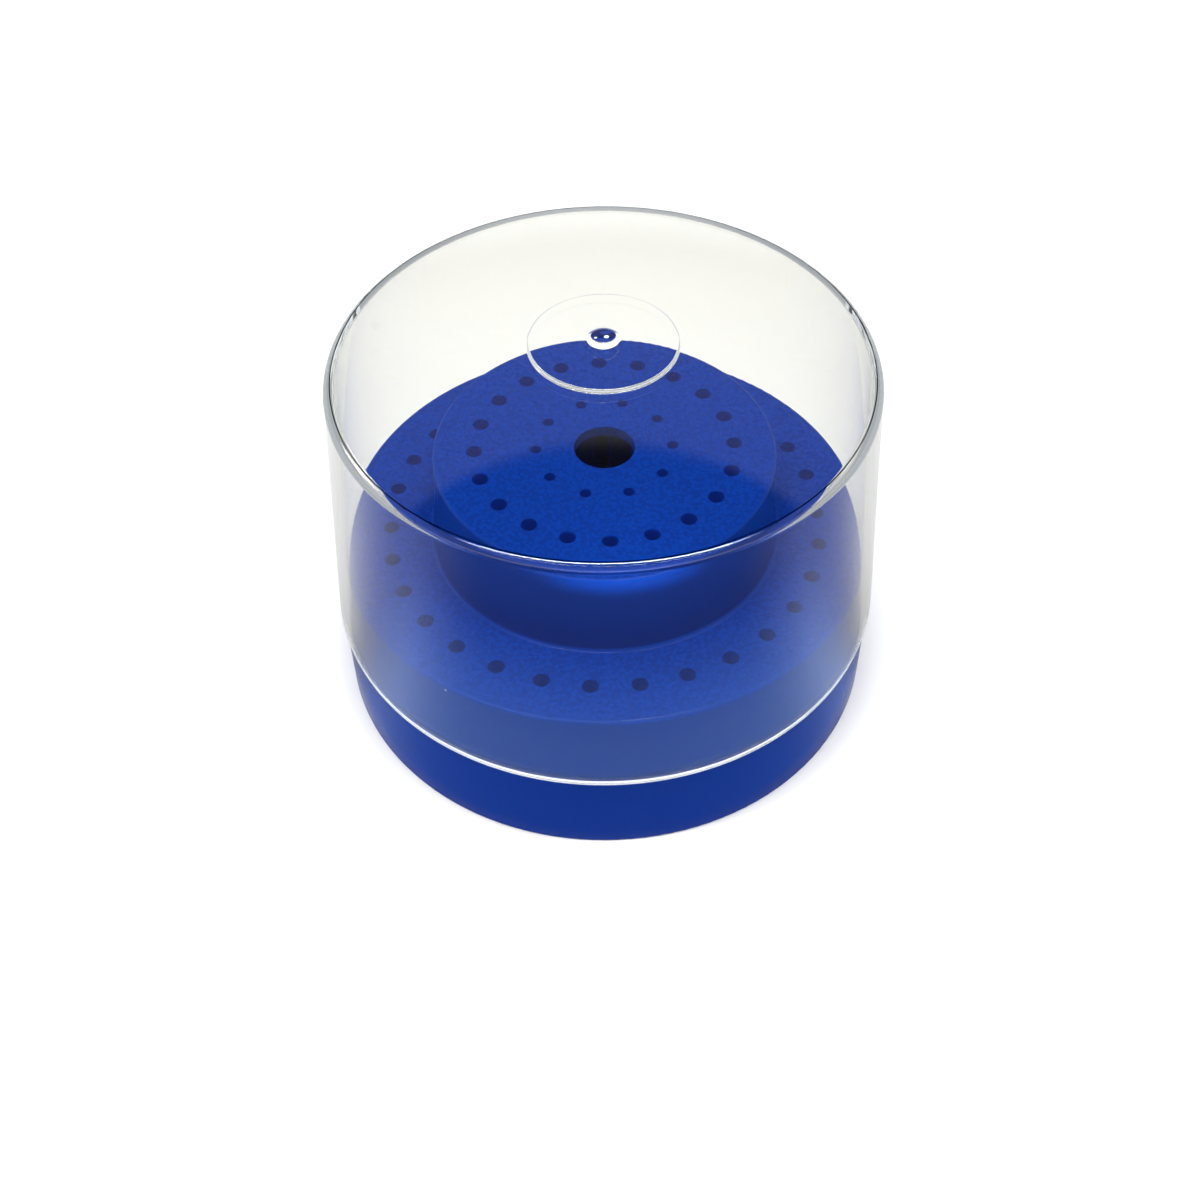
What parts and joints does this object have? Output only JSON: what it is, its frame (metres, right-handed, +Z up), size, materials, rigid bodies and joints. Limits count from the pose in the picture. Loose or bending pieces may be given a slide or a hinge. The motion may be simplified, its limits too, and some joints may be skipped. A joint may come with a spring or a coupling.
{
  "type": "dental bur block",
  "caption": "Round two-step bur block moulded in blue plastic, with rings of blind sockets for bur shanks under a clear lift-off lid.",
  "frame": {"origin": "centre of the foot's underside, on the surface the block stands on", "axes": "+Z up along the block's axis; a socket of the middle ring lies on +Y, away from the viewer of the picture"},
  "size_m": [0.084, 0.084, 0.0627],
  "materials": {
    "base": "blue moulded plastic, semi-gloss walls, fine leather grain on both decks",
    "lid": "clear moulded styrene plastic, glossy, with a very faint warm tint"
  },
  "bodies": {
    "base": {"base": "base"},
    "lid": {"lid": "lid"}
  },
  "joints": [
    {"name": "lid_lift", "type": "slide", "parent": "base", "child": "lid", "axis": [0, 0, 1], "range_m": [0, 0.05]}
  ]
}
